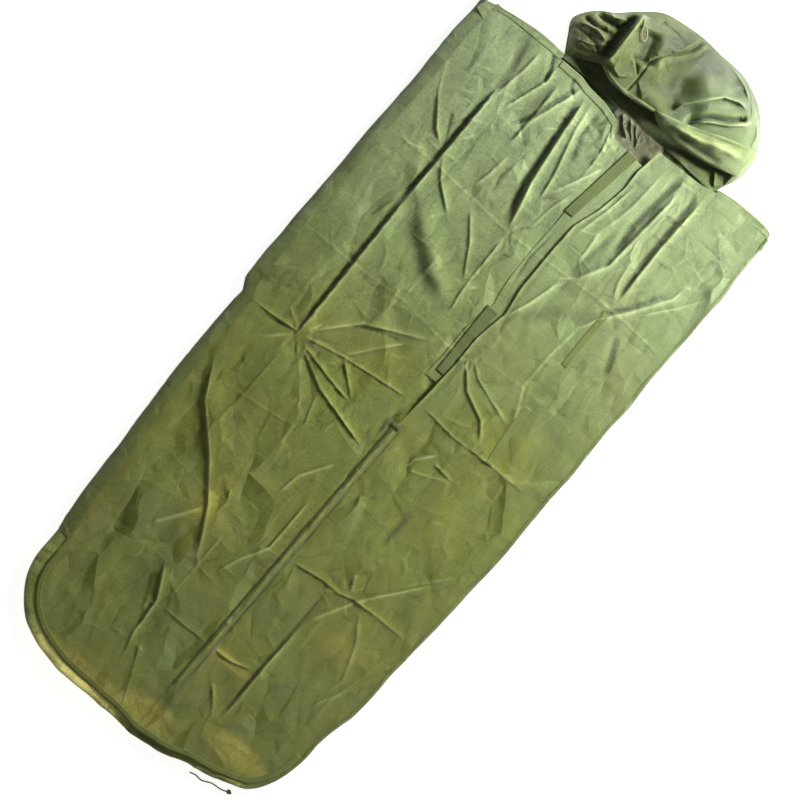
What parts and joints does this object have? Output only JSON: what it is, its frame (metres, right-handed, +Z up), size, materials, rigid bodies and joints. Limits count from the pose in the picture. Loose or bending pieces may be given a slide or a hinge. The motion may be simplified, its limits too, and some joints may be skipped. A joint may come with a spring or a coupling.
{
  "type": "bivy sack",
  "caption": "Waterproof bivy sack laid out flat, with a gathered hood, hook-and-loop front opening, taped seams and a foot tie.",
  "frame": {"origin": "middle of the sack's base where it lies on the ground, measured without the foot tie", "axes": "+Y from the foot to the hood, +X to the side that the opening is set towards, +Z up from the ground"},
  "size_m": [0.9, 2.1468, 0.0944],
  "materials": {
    "ground_cloth": "coated woven nylon, matt",
    "side_cloth": "woven nylon, soft sheen",
    "front_cloth": "woven nylon with a soft sheen, creased",
    "hood_cloth": "woven nylon with a satin sheen",
    "hem_cloth": "woven nylon, double-stitched",
    "lining_cloth": "crinkled coated lining",
    "seam_tape": "sealed polyurethane tape",
    "hook_and_loop": "ribbed hook-and-loop tape",
    "cord": "braided cord"
  },
  "bodies": {
    "body": {"ground_panel": "ground_cloth", "left_side_panel_lower": "side_cloth", "left_side_panel_middle": "side_cloth", "left_side_panel_upper": "side_cloth", "right_side_panel_lower": "side_cloth", "right_side_panel_middle": "side_cloth", "right_side_panel_upper": "side_cloth", "foot_panel": "side_cloth", "left_shoulder_hem": "hem_cloth", "right_shoulder_hem": "hem_cloth", "left_front_panel_lower": "front_cloth", "left_front_panel_upper": "front_cloth", "right_front_panel_lower": "front_cloth", "right_front_panel_upper": "front_cloth", "foot_hem": "hem_cloth", "foot_seam_tape": "seam_tape", "left_seam_tape": "seam_tape", "right_seam_tape": "seam_tape", "centre_seam_tape": "seam_tape", "keeper_strip_upper": "hook_and_loop", "keeper_strip_lower": "hook_and_loop", "opening_bar_tack": "hem_cloth", "neck_lining": "lining_cloth", "neck_seam_tape": "seam_tape", "foot_tie_cord": "cord", "foot_tie_knot": "cord"},
    "left_lapel": {"left_lapel_panel": "front_cloth", "left_collar_hem": "hem_cloth", "left_placket": "hem_cloth", "loop_strip_upper": "hook_and_loop", "loop_strip_lower": "hook_and_loop"},
    "right_lapel": {"right_lapel_panel": "front_cloth", "right_collar_hem": "hem_cloth", "right_placket": "hem_cloth", "hook_strip_upper": "hook_and_loop", "hook_strip_lower": "hook_and_loop"},
    "hood": {"hood_back_panel": "ground_cloth", "hood_left_panel": "hood_cloth", "hood_right_panel": "hood_cloth", "hood_seam_tape": "seam_tape", "hood_left_brim": "hem_cloth", "hood_right_brim": "hem_cloth", "hood_loop": "cord"}
  },
  "joints": [
    {"name": "hood_fold", "type": "hinge", "parent": "body", "child": "hood", "pos_m": [0.027, 0.815, 0.01], "axis": [1, 0, 0], "range_deg": [0, 60]},
    {"name": "left_lapel_fold", "type": "hinge", "parent": "body", "child": "left_lapel", "pos_m": [-0.079, 0.35035, 0.03837], "axis": [0.2943, -0.9557, 0.0041], "range_deg": [0, 150]},
    {"name": "right_lapel_fold", "type": "hinge", "parent": "body", "child": "right_lapel", "pos_m": [0.166, 0.35035, 0.0378], "axis": [0.2286, 0.9735, -0.0054], "range_deg": [0, 150]}
  ]
}
